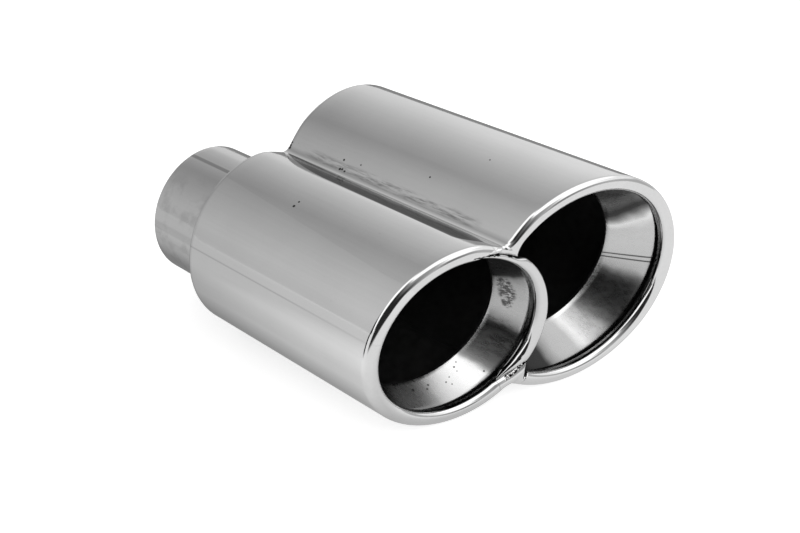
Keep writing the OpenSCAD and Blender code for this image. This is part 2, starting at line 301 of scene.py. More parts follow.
def outline_and_edge(step):
    """The shell's outline and, point for point, the lip's inner edge, every step degrees."""
    top, bottom = waist_centre(1), waist_centre(-1)
    small_top, small_bottom = bearing(top), bearing(bottom) + 360
    large_bottom, large_top = bearing(bottom - LARGE_AT), bearing(top - LARGE_AT)
    n_small = math.ceil((small_bottom - small_top) / step)
    n_large = math.ceil((large_top - large_bottom) / step)
    half = math.ceil(WAIST_POINTS / step)
    outline = (
        arc((0, 0), SMALL_R, small_top, small_bottom, n_small)
        + arc(bottom, WAIST_R, small_bottom - 180, large_bottom + 180, 2 * half)
        + arc(LARGE_AT, LARGE_R, large_bottom, large_top, n_large)
        + arc(top, WAIST_R, large_top + 180, small_top + 180, 2 * half)
    )
    outline = [pressed(p, top) for p in outline]

    upper_tip = polar((0, 0), upper_edge_r(UPPER_TIP), UPPER_TIP)
    lower_tip = polar((0, 0), lower_edge_r(LOWER_TIP), LOWER_TIP)
    upper_end = bearing(upper_tip - LARGE_AT)
    upper_start = upper_end - UPPER_BEND
    lower_end = -90 - math.degrees(math.asin((LARGE_AT[0] - lower_tip[0] - NOTCH_W) / LARGE_OPENING_R))
    corner = polar(LARGE_AT, LARGE_OPENING_R, lower_end)
    tongue = round(2 * half * LOWER_SHARE)
    lower = []
    for i in range(tongue + 1):
        a = mix(LOWER_ROOT, LOWER_TIP, i / tongue)
        lower.append(polar((0, 0), lower_edge_r(a), a))
    turns = [
        lower_tip,
        Vector((corner[0] - NOTCH_W, corner[1] - NOTCH_DEPTH)),
        Vector((corner[0], corner[1] - NOTCH_DEPTH)),
        corner,
    ]
    left = 2 * half - tongue - 1
    for i in range(1, left + 1):
        t = 3 * i / (left + 1)
        k = min(2, int(t))
        lower.append(turns[k].lerp(turns[k + 1], t - k))
    tip_r = (upper_tip - LARGE_AT).length
    upper = []
    for i in range(half):
        t = i / half
        r = LARGE_OPENING_R - (LARGE_OPENING_R - tip_r) * t ** 1.7
        upper.append(polar(LARGE_AT, r, mix(upper_start, upper_end, t)))
    for i in range(half):
        a = mix(UPPER_TIP, UPPER_ROOT, i / half)
        upper.append(polar((0, 0), upper_edge_r(a), a))
    edge = (
        arc((0, 0), SMALL_OPENING_R, UPPER_ROOT, LOWER_ROOT + 360, n_small)
        + lower
        + arc(LARGE_AT, LARGE_OPENING_R, lower_end, upper_start, n_large)
        + upper
    )
    return outline, edge


def tuck(p):
    """How far the large mouth's lip is drawn in on its outer side, at an outline point."""
    away = p - LARGE_AT
    share = (bearing(away) - TUCK_FROM) / (TUCK_TO - TUCK_FROM)
    if away.length > LARGE_R + 0.1 or not 0 < share < 1:
        return 0.0
    return LIP_TUCK * math.sin(math.pi * share)


def inward(outline, i):
    """The direction into the shell, square to the outline at its point i."""
    n = len(outline)
    t = outline[(i + 1) % n] - outline[i - 1]
    return Vector((-t[1], t[0])).normalized()


def crest_height(w):
    """How far a lip of width w stands out of the mouths' plane."""
    return LIP_H * min(1.0, w / DIVIDER_W)


def lip_point(p0, p1, depth, degrees, back=0.0, crest=None):
    """A point of a lip between its inner edge p0 and its foot p1, as in the part's source."""
    w = (p1 - p0).length
    a = math.radians(degrees)
    p = (p0 + p1) / 2 + (p1 - p0) * (0.5 - depth / w) * math.cos(a)
    crest = crest or crest_height(w)
    return Vector((p[0], mouth_y(p) - (crest - depth) * math.sin(a) + back, p[1]))


def thin(w):
    """The sheet's thickness in a lip of width w."""
    return min(SHEET, 0.3 * w)


def mesh_piece(name, rings, material_rows, materials, closed_rings=True):
    """A smooth skin over rings of equal length. material_rows gives each strip's material."""
    n = len(rings[0])
    mesh = bpy.data.meshes.new(name)
    vertices = [p * MM for ring in rings for p in ring]
    faces = []
    indices = []
    for i in range(len(rings) if closed_rings else len(rings) - 1):
        j = (i + 1) % len(rings)
        for k in range(n):
            m = (k + 1) % n
            faces.append((i * n + k, j * n + k, j * n + m, i * n + m))
            indices.append(material_rows(k))
    if not closed_rings:
        last = (len(rings) - 1) * n
        faces += [tuple(range(n)), tuple(range(last + n - 1, last - 1, -1))]
        indices += [material_rows(0)] * 2
    mesh.from_pydata(vertices, [], faces)
    for material in materials:
        mesh.materials.append(material)
    mesh.polygons.foreach_set("material_index", indices)
    mesh.polygons.foreach_set("use_smooth", [True] * len(faces))
    mesh.update()
    piece = bpy.data.objects.new(name, mesh)
    bpy.context.collection.objects.link(piece)
    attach(piece, "root")
    return piece


def shell_point(p, n, depth, y):
    """A point of the shell at a depth below the outline point p, whose inward direction is n."""
    q = p + n * (depth + SKIN_IN)
    return Vector((q[0], y, q[1]))


def build_shell(skin, inside):
    """The waisted shell: rear rim, shoulder, skin, lip and the inner wall."""
    outline, edge = outline_and_edge(1.0)
    lip_steps = 28
    bend_steps = 8
    length_steps = 24
    rings = []
    for i, p in enumerate(outline):
        n = inward(outline, i)
        foot = p + n * (SKIN_IN + tuck(p))
        t = thin((foot - edge[i]).length)
        ring = [shell_point(p, n, REAR_RIM_W, REAR_Y)]
        for k in range(bend_steps + 1):
            a = math.radians(90 * k / bend_steps)
            depth = SHOULDER_R * (1 - math.sin(a))
            ring.append(shell_point(p, n, depth, REAR_Y - SHOULDER_R * (1 - math.cos(a))))
        start = ring[-1]
        front = lip_point(edge[i], foot, 0, 0)
        ring += [start.lerp(front, k / length_steps) for k in range(1, length_steps)]
        ring += [lip_point(edge[i], foot, 0, 180 * k / lip_steps) for k in range(lip_steps + 1)]
        ring += [lip_point(edge[i], foot, depth, 180, LIP_RETURN) for depth in (0, t)]
        ring += [lip_point(edge[i], foot, t, 180 * k / lip_steps) for k in range(lip_steps, -1, -1)]
        ring.append(shell_point(p, n, SHEET, REAR_Y - SHOULDER_R))
        ring.append(shell_point(p, n, SHOULDER_R, REAR_Y - SHEET))
        ring.append(shell_point(p, n, REAR_RIM_W, REAR_Y - SHEET))
        rings.append(ring)
    outer = 1 + bend_steps + length_steps + lip_steps + 1
    piece = mesh_piece(
        "shell_skin", rings, lambda k: 0 if k < outer else 1, [skin, inside]
    )
    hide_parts("outer_shell")


def divider_r(a):
    """The radius of the divider's outer edge at a bearing; at its ends it meets the lips' edges."""
    free = SMALL_OPENING_R + DIVIDER_W - DIVIDER_DROP * math.sin(math.radians(a))
    if a > UPPER_TIP:
        return upper_edge_r(a) - DIVIDER_JOINT
    if a < LOWER_TIP:
        return min(free, lower_edge_r(a) - DIVIDER_JOINT)
    out = min(1.0, (UPPER_TIP - a) / DIVIDER_EASE)
    return mix(upper_edge_r(UPPER_TIP) - DIVIDER_JOINT, free, out * out * (3 - 2 * out))


def divider_crest(a):
    """The height of the divider's crest, from its mean width over 16 degrees around a bearing."""
    bearings = [min(DIVIDER_LAST, max(DIVIDER_FIRST, a + 2 * k)) for k in range(-4, 5)]
    mean_r = sum(divider_r(b) for b in bearings) / len(bearings)
    return crest_height(mean_r - SMALL_OPENING_R)


def build_divider(metal):
    """The strip between the mouths, a lip like the shell's with a flange behind each edge."""
    steps = 150
    lip_steps = 20
    rings = []
    for i in range(steps + 1):
        a = mix(DIVIDER_FIRST, DIVIDER_LAST, i / steps)
        p0 = polar((0, 0), SMALL_OPENING_R, a)
        p1 = polar((0, 0), divider_r(a), a)
        t = thin((p1 - p0).length)
        crest = divider_crest(a)
        to_end = min(a - DIVIDER_FIRST, DIVIDER_LAST - a)
        flange = DIVIDER_FLANGE * min(1.0, to_end / DIVIDER_EASE + 0.1)
        ring = [lip_point(p0, p1, 0, 0, flange)]
        ring += [lip_point(p0, p1, 0, 180 * k / lip_steps, 0, crest) for k in range(lip_steps + 1)]
        ring += [lip_point(p0, p1, 0, 180, flange), lip_point(p0, p1, t, 180, flange)]
        ring += [lip_point(p0, p1, t, 180 * k / lip_steps, 0, crest) for k in range(lip_steps, -1, -1)]
        ring += [lip_point(p0, p1, t, 0, flange)]
        rings.append(ring)
    piece = mesh_piece("divider_strip", rings, lambda k: 0, [metal], closed_rings=False)
    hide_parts("mouth_divider")


def lip_height(r, r0, r1):
    """How far a lip stands out of the mouths' plane at radius r, between its edges."""
    along = max(-1.0, min(1.0, (2 * r - r0 - r1) / (r1 - r0)))
    return crest_height(r1 - r0) * math.sqrt(1 - along * along)


def build_weld(metal):
    """The rough weld bead along the lower tongue's edge, lying over the joint."""
    steps, across = 90, 10
    rings = []
    for i in range(steps + 1):
        t = i / steps
        a = mix(WELD_FIRST, WELD_LAST, t)
        centre = mix(*WELD_R, t)
        half = WELD_HALF * min(1.0, 6 * t, 5 * (1 - t)) + 0.05
        ring = []
        for k in range(across + 1):
            s = 2 * k / across - 1
            p = polar((0, 0), centre + half * s, a)
            coarse = noise.noise(Vector((p[0], p[1], 0)) * 1.7)
            fine = noise.noise(Vector((p[0], 7, p[1])) * 4.1)
            rough = coarse + 0.5 * fine
            base = lip_height(centre + WELD_SPREAD * s, SMALL_OPENING_R, WELD_LIP_R)
            bump = WELD_H * (1 - s * s) * (0.9 + 0.9 * rough) - 0.25 * s * s
            ring.append(Vector((p[0], mouth_y(p) - base * WELD_LEVEL - bump, p[1])))
        ring += [v + Vector((0, 0.4, 0)) for v in reversed(ring)]
        rings.append(ring)
    mesh_piece("foot_weld", rings, lambda k: 0, [metal], closed_rings=False)


def liner_profile(liner):
    """The liner's section as [radius, depth] from the front's outside, inside to the rim."""
    slope = liner["rise"] / LINER_LEN
    back_r = liner["front"] - liner["taper"]
    back = SETBACK + LINER_LEN
    rim = liner["barrel"] - SHEET - RIM_GAP - slope * (LINER_LEN + BEND_R)
    bends = [math.radians(90 * k / 8) for k in range(9)]
    points = [
        (liner["front"] + SHEET, SETBACK),
        (liner["front"] + LINER_EASE, SETBACK),
        (liner["front"], SETBACK + LINER_EASE),
    ]
    points += [
        (mix(liner["front"], back_r, k / 10), mix(SETBACK, back, k / 10)) for k in range(1, 10)
    ]
    points += [(back_r + BEND_R * (1 - math.cos(a)), back + BEND_R * math.sin(a)) for a in bends]
    points += [(rim, back + BEND_R), (rim, back + BEND_R - SHEET)]
    inner = BEND_R - SHEET
    for a in reversed(bends):
        points.append((back_r + BEND_R - inner * math.cos(a), back + inner * math.sin(a)))
    return points


def cut_half(r):
    """Half the angle that the small barrel takes out of a large circle of radius r."""
    return math.degrees(math.acos((r * r - SMALL_R * SMALL_R + SPAN * SPAN) / (2 * SPAN * r)))


def build_liner(name, node, liner, centre, first, last, materials):
    """A sleeve from one bearing to another around its barrel's axis, leaning with the barrel."""
    slope = liner["rise"] / LINER_LEN
    profile = liner_profile(liner)
    whole = last - first >= 360
    steps = math.ceil((last - first) / 1.5)
    rings = []
    for i in range(steps if whole else steps + 1):
        a = mix(first, last, i / steps)
        ring = []
        for r, depth in profile:
            p = polar(centre, r, a)
            y = mouth_y(p) + depth
            ring.append(Vector((p[0], y, p[1] + slope * (depth - SETBACK))))
        rings.append(ring)
    piece = mesh_piece(
        name, rings, lambda k: 0 if k in LINER_FACE else 1, materials, closed_rings=whole
    )
    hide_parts(node)


def build_liners(inside):
    """Both sleeves. The small barrel cuts its arc out of the large one's."""
    small_sleeve = sleeve(
        "small_sleeve", (0, 0), SMALL_REFLECTIONS, 0.35, SMALL_GLINT, specks=LINER_SPECKS, pits=LINER_PITS
    )
    large_sleeve = sleeve("large_sleeve", LARGE_AT, LARGE_REFLECTIONS, 0.15, LARGE_GLINT, seam=LARGE_SEAM)
    build_liner(
        "small_liner_ring",
        "small_liner",
        SMALL_LINER,
        (0, 0),
        0,
        360,
        [small_sleeve, inside],
    )
    front_r = LARGE_LINER["front"]
    cut = max(cut_half(front_r + SHEET), cut_half(front_r - LARGE_LINER["taper"]))
    toward_small = bearing(-ALONG)
    build_liner(
        "large_liner_ring",
        "large_liner",
        LARGE_LINER,
        LARGE_AT,
        toward_small + cut,
        toward_small + 360 - cut,
        [large_sleeve, inside],
    )


def build_pipe(skin, inside):
    """The inlet pipe, with its cut ends just broken."""
    outer = INLET_BORE_R + SHEET
    front = -INLET_LEN - INLET_DEPTH
    profile = [(INLET_BORE_R, front), (outer, front), (outer, REAR_Y - 2)]
    profile += [(outer, mix(REAR_Y, 0, k / 12)) for k in range(12)]
    turns = [math.radians(90 * k / 4) for k in range(5)]
    for a in turns:
        profile.append((outer - INLET_EASE * (1 - math.cos(a)), INLET_EASE * (math.sin(a) - 1)))
    for a in turns:
        profile.append((INLET_BORE_R + INLET_EASE * (1 - math.sin(a)), INLET_EASE * (math.cos(a) - 1)))
    steps = 240
    rings = []
    for i in range(steps):
        ring = []
        for r, y in profile:
            p = polar((0, 0), r, -360 * i / steps)
            ring.append(Vector((p[0], y, p[1])))
        rings.append(ring)
    piece = mesh_piece(
        "inlet_tube", rings, lambda k: 0 if 1 <= k < len(profile) - 2 else 1, [skin, inside]
    )
    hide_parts("inlet_pipe")


def dress_plate(material):
    """The rear plate stays the CAD solid and gets its steel."""
    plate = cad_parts["rear_plate"]
    plate.data.materials.clear()
    plate.data.materials.append(material)


class Graph:
    """A material's or the world's nodes, with short calls to add and join them."""

    def __init__(self, block):
        block.use_nodes = True
        self.nodes = block.node_tree.nodes
        self.links = block.node_tree.links

    def put(self, socket, value):
        """Sets a socket to a constant or links an output to it."""
        if isinstance(value, bpy.types.NodeSocket):
            self.links.new(value, socket)
        else:
            socket.default_value = value

    def add(self, kind, out=0, props=None, **inputs):
        """Adds a node; inputs are given as i0, i1 ... or by name, with _ for a space."""
        node = self.nodes.new("ShaderNode" + kind)
        for key, value in (props or {}).items():
            setattr(node, key, value)
        for key, value in inputs.items():
            index = int(key[1:]) if key[0] == "i" and key[1:].isdigit() else key.replace("_", " ")
            self.put(node.inputs[index], value)
        return node.outputs[out]

    def math(self, operation, a, b=0.0):
        return self.add("Math", props={"operation": operation}, i0=a, i1=b)

    def remap(self, value, a0, a1, b0, b1, smooth=False):
        """Maps a0..a1 to b0..b1 and holds the ends."""
        kind = "SMOOTHSTEP" if smooth else "LINEAR"
        return self.add(
            "MapRange", props={"interpolation_type": kind}, i0=value, i1=a0, i2=a1, i3=b0, i4=b1
        )

    def blend(self, a, b, share):
        """a where the share is 0, and b where it is 1."""
        return self.math("ADD", a, self.math("MULTIPLY", share, self.math("SUBTRACT", b, a)))

    def grey(self, value):
        return self.add("CombineColor", i0=value, i1=value, i2=value)

    def noise(self, place, scale, detail=3.0, rough=0.5):
        return self.add("TexNoise", Vector=place, Scale=scale, Detail=detail, Roughness=rough)

    def stretched(self, place, scale):
        """The place with each axis scaled, for grain that runs one way."""
        return self.add("VectorMath", props={"operation": "MULTIPLY"}, i0=place, i1=scale)

    def spots(self, place, centres):
        """1 in small round spots, given as x, y, z and radius in millimetres, else 0."""
        mask = 0.0
        for x, y, z, r in centres:
            at = (x * MM, y * MM, z * MM)
            away = self.add("VectorMath", out=1, props={"operation": "DISTANCE"}, i0=place, i1=at)
            spot = self.remap(away, 0.7 * r * MM, 1.2 * r * MM, 1.0, 0.0, smooth=True)
            mask = self.math("MAXIMUM", spot, mask)
        return mask


def valley_reflection_and_rubbing(g, place):
    """The painted dark reflection in the valley between the barrels, and the rubbed band on the flank
    above it.
    """
    split = g.add("SeparateXYZ", Vector=place).node.outputs
    top = waist_centre(1).dot(ALONG) * MM
    across_x = g.math("MULTIPLY", split["X"], ALONG[0])
    across = g.math("ADD", across_x, g.math("MULTIPLY", split["Z"], ALONG[1]))
    u = g.math("DIVIDE", g.math("SUBTRACT", across, top), MM)
    y = g.math("DIVIDE", split["Y"], MM)
    rear = g.remap(y, *VALLEY_REAR, 1.0, 0.0)
    rear = g.math("MULTIPLY", rear, rear)
    front = g.remap(y, *VALLEY_FRONT, 0.0, 1.0)
    front = g.math("MULTIPLY", front, front)
    rear_rise, front_rise = VALLEY_LOWER_RISE
    lower = g.math("ADD", g.math("MULTIPLY", rear, rear_rise), g.math("MULTIPLY", front, front_rise))
    lower = g.math("ADD", lower, g.remap(y, VALLEY_REAR[1], VALLEY_FRONT[0], *VALLEY_LOWER))
    upper = g.math("ADD", g.remap(y, *VALLEY_UPPER), g.math("MULTIPLY", front, VALLEY_UPPER_DROP))
    valley = g.math(
        "MULTIPLY",
        g.remap(g.math("SUBTRACT", u, lower), 0.0, 0.7, 0.0, 1.0, smooth=True),
        g.remap(g.math("SUBTRACT", upper, u), 0.0, 0.5, 0.0, 1.0, smooth=True),
    )
    ends = g.remap(y, -44.0, -56.0, 0.0, 1.0)
    ends = g.math("MULTIPLY", ends, g.remap(y, -138.0, -130.0, 0.0, 1.0))
    off = g.math("ABSOLUTE", g.math("SUBTRACT", u, RUBBED_AT))
    band = g.remap(off, RUBBED_HALF, 0.5, 0.0, 1.0, smooth=True)
    grain = g.noise(g.stretched(place, (900.0, 110.0, 900.0)), 1.0, 5.0, 0.65)
    rubbed = g.math("MULTIPLY", g.math("MULTIPLY", band, ends), g.remap(grain, 0.42, 0.68, 0.0, 1.0))
    # Painted dark reflection along the valley
    shade = g.remap(g.math("SUBTRACT", u, lower), 2.0, 6.5, *VALLEY_REFLECTION_TONES, smooth=True)
    return g.blend(1.0, shade, valley), rubbed


def bearing_of(g, split):
    """The bearing in degrees around the small barrel's axis, from 0 to 360."""
    turn = g.math("MULTIPLY", g.math("ARCTAN2", split["Z"], split["X"]), 180 / math.pi)
    return g.math("FLOORED_MODULO", turn, 360.0)


def barrel_painted_light(g, place):
    """The skin's tone: painted light brighter toward the mouths, darker at the rear edge, a painted
    lighter band on the flank, and painted shade on the crease.
    """
    split = g.add("SeparateXYZ", Vector=place).node.outputs
    y = g.math("DIVIDE", split["Y"], MM)
    # Painted light: brighter toward the mouths
    tone = g.remap(y, *SKIN_LIGHT_FALLOFF)
    tone = g.math("MULTIPLY", tone, g.remap(y, -38.0, -36.0, 1.0, 0.75))
    turn = bearing_of(g, split)
    # Painted lighter band beyond a soft step on the flank
    step = g.math("SUBTRACT", turn, g.remap(y, *STEP_LINE))
    flank = g.math("MULTIPLY", g.remap(step, -0.4, 0.4, 0.0, 1.0), g.remap(step, 40.0, 5.0, 0.0, 1.0))
    tone = g.math("MULTIPLY", tone, g.remap(flank, 0.0, 1.0, 1.0, 1.07))
    # Painted shade along the crease
    off = g.math("ABSOLUTE", g.math("SUBTRACT", turn, CREASE))
    crease = g.remap(off, 0.9, 0.1, 0.0, 1.0, smooth=True)
    crease = g.math("MULTIPLY", crease, g.remap(y, -150.0, -90.0, 0.0, 1.0))
    crease = g.math("MULTIPLY", crease, g.remap(split["X"], 0.0, -0.01, 0.0, 1.0))
    return g.math("MULTIPLY", tone, g.remap(crease, 0.0, 1.0, 1.0, 0.80))


def crack(g, place):
    """1 along the open, ragged seam at the divider's upper end, else 0."""
    split = g.add("SeparateXYZ", Vector=place).node.outputs
    flat = g.stretched(place, (1.0, 0.0, 1.0))
    r = g.math("DIVIDE", g.add("VectorMath", out=1, props={"operation": "LENGTH"}, i0=flat), MM)
    turn = bearing_of(g, split)
    ragged = g.remap(g.noise(place, 900.0, 2.0), 0.3, 0.7, -CRACK_RAGGED, CRACK_RAGGED)
    path = g.blend(g.remap(turn, *CRACK_PATH), CRACK_OUTER_R, g.remap(turn, *CRACK_STEP, 0.0, 1.0))
    path = g.math("ADD", path, ragged)
    off = g.math("ABSOLUTE", g.math("SUBTRACT", r, path))
    line = g.remap(off, CRACK_HALF + 0.08, CRACK_HALF, 0.0, 1.0)
    lengths = 0.0
    for first, last in CRACK_SPANS:
        begun = g.remap(turn, first, first + 1, 0.0, 1.0)
        left = g.remap(turn, last - 1, last, 1.0, 0.0)
        lengths = g.math("ADD", g.math("MULTIPLY", begun, left), lengths)
    return g.math("MULTIPLY", line, lengths)


def pipe_reflections_and_stains(g, place):
    """The inlet pipe's tone: painted reflections as lengthwise bands, and stains away from the large
    barrel.
    """
    turn = bearing_of(g, g.add("SeparateXYZ", Vector=place).node.outputs)
    stain = g.remap(g.noise(place, 120.0, 4.0, 0.6), 0.48, 0.62, 0.0, 1.0)
    stain = g.math("MULTIPLY", stain, g.remap(turn, 118.0, 135.0, 0.0, 1.0))
    tone = g.remap(stain, 0.0, 1.0, 1.0, 0.85)
    # Painted reflection bands along the pipe
    for centre, half, level in PIPE_REFLECTION_BANDS:
        off = g.math("ABSOLUTE", g.math("SUBTRACT", turn, centre))
        band = g.remap(off, half, half * 0.4, 0.0, 1.0, smooth=True)
        tone = g.math("MULTIPLY", tone, g.remap(band, 0.0, 1.0, 1.0, level))
    return tone


def polished(name, grey, roughness, specks=(), valley=False, banded=False, seamed=False):
    """Polished stainless sheet: a slow wave, fine lengthwise lines, haze and grit.

    It takes specks, the valley's painted dark reflection and rubbed band, the barrels' painted
    light and shade, the pipe's painted reflection bands or the open seam.
    """
    material = bpy.data.materials.new(name)
    g = Graph(material)
    shader = g.nodes["Principled BSDF"]
    shader.inputs["Metallic"].default_value = 1.0
    place = g.add("TexCoord", out=3)
    haze = g.noise(place, 34.0, 5.0, 0.6)
    lines = g.noise(g.stretched(place, (900.0, 20.0, 900.0)), 1.0, 2.0)
    grit = g.noise(place, 1500.0, 2.0)
    tone = g.remap(haze, 0.3, 0.7, grey - 0.02, grey + 0.02)
    tone = g.math("ADD", tone, g.remap(lines, 0.2, 0.8, -0.012, 0.012))
    dust = g.remap(grit, 0.72, 0.78, 0.0, 0.25)
    tone = g.math("MULTIPLY", tone, g.math("SUBTRACT", 1.0, dust))
    gloss = g.remap(haze, 0.3, 0.75, roughness * 0.8, roughness * 1.3)
    # Specks; on the skin some of them are painted shadow at the valley's rear end
    if specks:
        mask = g.spots(place, specks)
        tone = g.math("MULTIPLY", tone, g.remap(mask, 0.0, 1.0, 1.0, 0.08))
        gloss = g.math("ADD", gloss, g.remap(mask, 0.0, 1.0, 0.0, 0.3))
    # The valley's painted dark reflection and rubbed band, and the barrels' painted light and shade
    if valley:
        dark, rubbed = valley_reflection_and_rubbing(g, place)
        tone = g.math("MULTIPLY", tone, g.math("MULTIPLY", dark, barrel_painted_light(g, place)))
        tone = g.math("MULTIPLY", tone, g.remap(rubbed, 0.0, 1.0, 1.0, 0.36))
        gloss = g.math("ADD", gloss, g.remap(rubbed, 0.0, 1.0, 0.0, 0.12))
    if seamed:
        tone = g.math("MULTIPLY", tone, g.remap(crack(g, place), 0.0, 1.0, 1.0, 0.01))
    # The pipe's painted reflection bands, and its stains
    if banded:
        tone = g.math("MULTIPLY", tone, pipe_reflections_and_stains(g, place))
    g.put(shader.inputs["Base Color"], g.grey(tone))
    g.put(shader.inputs["Roughness"], gloss)
    swell = g.math("ADD", g.noise(place, 22.0, 1.0), g.math("MULTIPLY", lines, 0.02))
    g.put(shader.inputs["Normal"], g.add("Bump", Strength=0.02, Distance=0.001, Height=swell))
    return material


def mouth_depth(g, split):
    """How far behind the mouths' plane a place lies, along Y in millimetres."""
    slope = g.math("ADD", g.math("MULTIPLY", split["X"], SWEEP), g.math("MULTIPLY", split["Z"], LEAN))
    return g.math(
        "DIVIDE", g.math("ADD", g.math("ADD", split["Y"], slope), (SHELL_LEN - REAR_Y) * MM), MM
    )


def seam_lines(g, split, angle, seam):
    """1 on the two fine lines of a sleeve's lengthwise seam, else 0."""
    y = g.math("DIVIDE", split["Y"], MM)
    start = g.remap(y, seam["front"], seam["rear"], seam["at_front"], seam["at_rear"])
    from_middle = g.math("ABSOLUTE", g.math("SUBTRACT", g.math("SUBTRACT", start, angle), seam["half"]))
    from_line = g.math("ABSOLUTE", g.math("SUBTRACT", from_middle, seam["half"]))
    return g.remap(from_line, 0.2, 0.7, 1.0, 0.0, smooth=True)


def sleeve(name, centre, tones, flare, glint, specks=(), pits=(), seam=None):
    """A drawn steel sleeve: painted reflections as tones by bearing around its axis, lengthwise grain,
    specks.

    Its drawn surface shines as if it flared more toward the mouth than it does. The glint
    is the painted highlight on its rear bend, as a bearing and half its span.
    """
    material = bpy.data.materials.new(name)
    g = Graph(material)
    shader = g.nodes["Principled BSDF"]
    shader.inputs["Metallic"].default_value = 1.0
    place = g.add("TexCoord", out=3)
    split = g.add("SeparateXYZ", Vector=place).node.outputs
    x = g.math("SUBTRACT", split["X"], centre[0] * MM)
    z = g.math("SUBTRACT", split["Z"], centre[1] * MM)
    angle = g.math("MULTIPLY", g.math("ARCTAN2", z, x), 180 / math.pi)
    grain = g.noise(g.stretched(place, (700.0, 60.0, 700.0)), 1.0, 4.0, 0.6)
    depth = mouth_depth(g, split)
    # Painted reflections: tones by bearing around the axis, turned with depth on the roof
    wander = g.math("ADD", angle, g.remap(g.noise(place, 90.0, 2.0), 0.3, 0.7, -1.5, 1.5))
    roof = g.remap(angle, 12.0, 22.0, 0.0, 1.0)
    slant = g.math("MULTIPLY", g.remap(depth, SETBACK, GLINT_FROM, *ROOF_SLANT), roof)
    ramp = g.add("ValToRGB", Fac=g.remap(g.math("ADD", wander, slant), -180.0, 180.0, 0.0, 1.0))
    stops = ramp.node.color_ramp.elements
    stops[0].color = stops[1].color = (0.05, 0.05, 0.05, 1)
    for degrees, tone in tones:
        stop = stops.new((degrees + 180) / 360)
        stop.color = (tone, tone, tone, 1)
    tone = g.math("MULTIPLY", ramp, g.remap(grain, 0.3, 0.7, 0.93, 1.06))
    # Painted highlight along the rear bend
    bend = g.remap(depth, GLINT_FROM, GLINT_FROM + 0.8, 0.0, 1.0)
    bend = g.math("MULTIPLY", bend, g.remap(depth, GLINT_TO, GLINT_TO - 0.4, 0.0, 1.0))
    glint_at, glint_half = glint
    off = g.math("ABSOLUTE", g.math("SUBTRACT", wander, glint_at))
    bend = g.math("MULTIPLY", bend, g.remap(off, glint_half, glint_half * 0.4, 0.0, 1.0, smooth=True))
    tone = g.blend(tone, 0.95, bend)
    if specks:
        tone = g.math("MULTIPLY", tone, g.remap(g.spots(place, specks), 0.0, 1.0, 1.0, 0.12))
    if pits:
        bits = g.noise(g.stretched(place, (1400.0, 500.0, 1400.0)), 1.0, 4.0, 0.7)
        mask = g.math("MULTIPLY", g.spots(place, pits), g.remap(bits, 0.43, 0.52, 0.0, 1.0))
        tone = g.math("MULTIPLY", tone, g.remap(mask, 0.0, 1.0, 1.0, 0.2))
    rise = grain
    if seam:
        line = seam_lines(g, split, angle, seam)
        tone = g.math("MULTIPLY", tone, g.remap(line, 0.0, 1.0, 1.0, 0.18))
        rise = g.math("SUBTRACT", rise, line)
    g.put(shader.inputs["Base Color"], g.grey(tone))
    g.put(shader.inputs["Roughness"], g.remap(grain, 0.3, 0.7, SLEEVE_GLOSS - 0.05, SLEEVE_GLOSS + 0.05))
    flared = g.add("VectorMath", i0=g.add("NewGeometry", out=1), i1=(0.0, -flare, 0.0))
    flared = g.add("VectorMath", props={"operation": "NORMALIZE"}, i0=flared)
    bump = g.add("Bump", Strength=0.03, Distance=0.0002, Height=rise, Normal=flared)
    g.put(shader.inputs["Normal"], bump)
    return material


def weld_metal():
    """Rough weld metal: bright on its lumps, black in its pits."""
    material = bpy.data.materials.new("weld_metal")
    g = Graph(material)
    shader = g.nodes["Principled BSDF"]
    shader.inputs["Metallic"].default_value = 1.0
    lumps = g.noise(g.add("TexCoord", out=3), 800.0, 2.0, 0.6)
    g.put(shader.inputs["Base Color"], g.grey(g.remap(lumps, 0.48, 0.52, 0.003, 1.0)))
    g.put(shader.inputs["Roughness"], g.remap(lumps, 0.40, 0.55, 0.7, 0.2))
    g.put(shader.inputs["Normal"], g.add("Bump", Strength=0.6, Distance=0.0003, Height=lumps))
    return material


def dull(name, grey, roughness, metallic):
    """Bare unpolished steel with a fine grain."""
    material = bpy.data.materials.new(name)
    g = Graph(material)
    shader = g.nodes["Principled BSDF"]
    shader.inputs["Metallic"].default_value = metallic
    grain = g.noise(g.add("TexCoord", out=3), 300.0)
    g.put(shader.inputs["Base Color"], g.grey(g.remap(grain, 0.3, 0.7, grey * 0.7, grey * 1.3)))
    g.put(shader.inputs["Roughness"], g.remap(grain, 0.3, 0.7, roughness - 0.1, roughness + 0.1))
    g.put(shader.inputs["Normal"], g.add("Bump", Strength=0.1, Distance=0.0002, Height=grain))
    return material


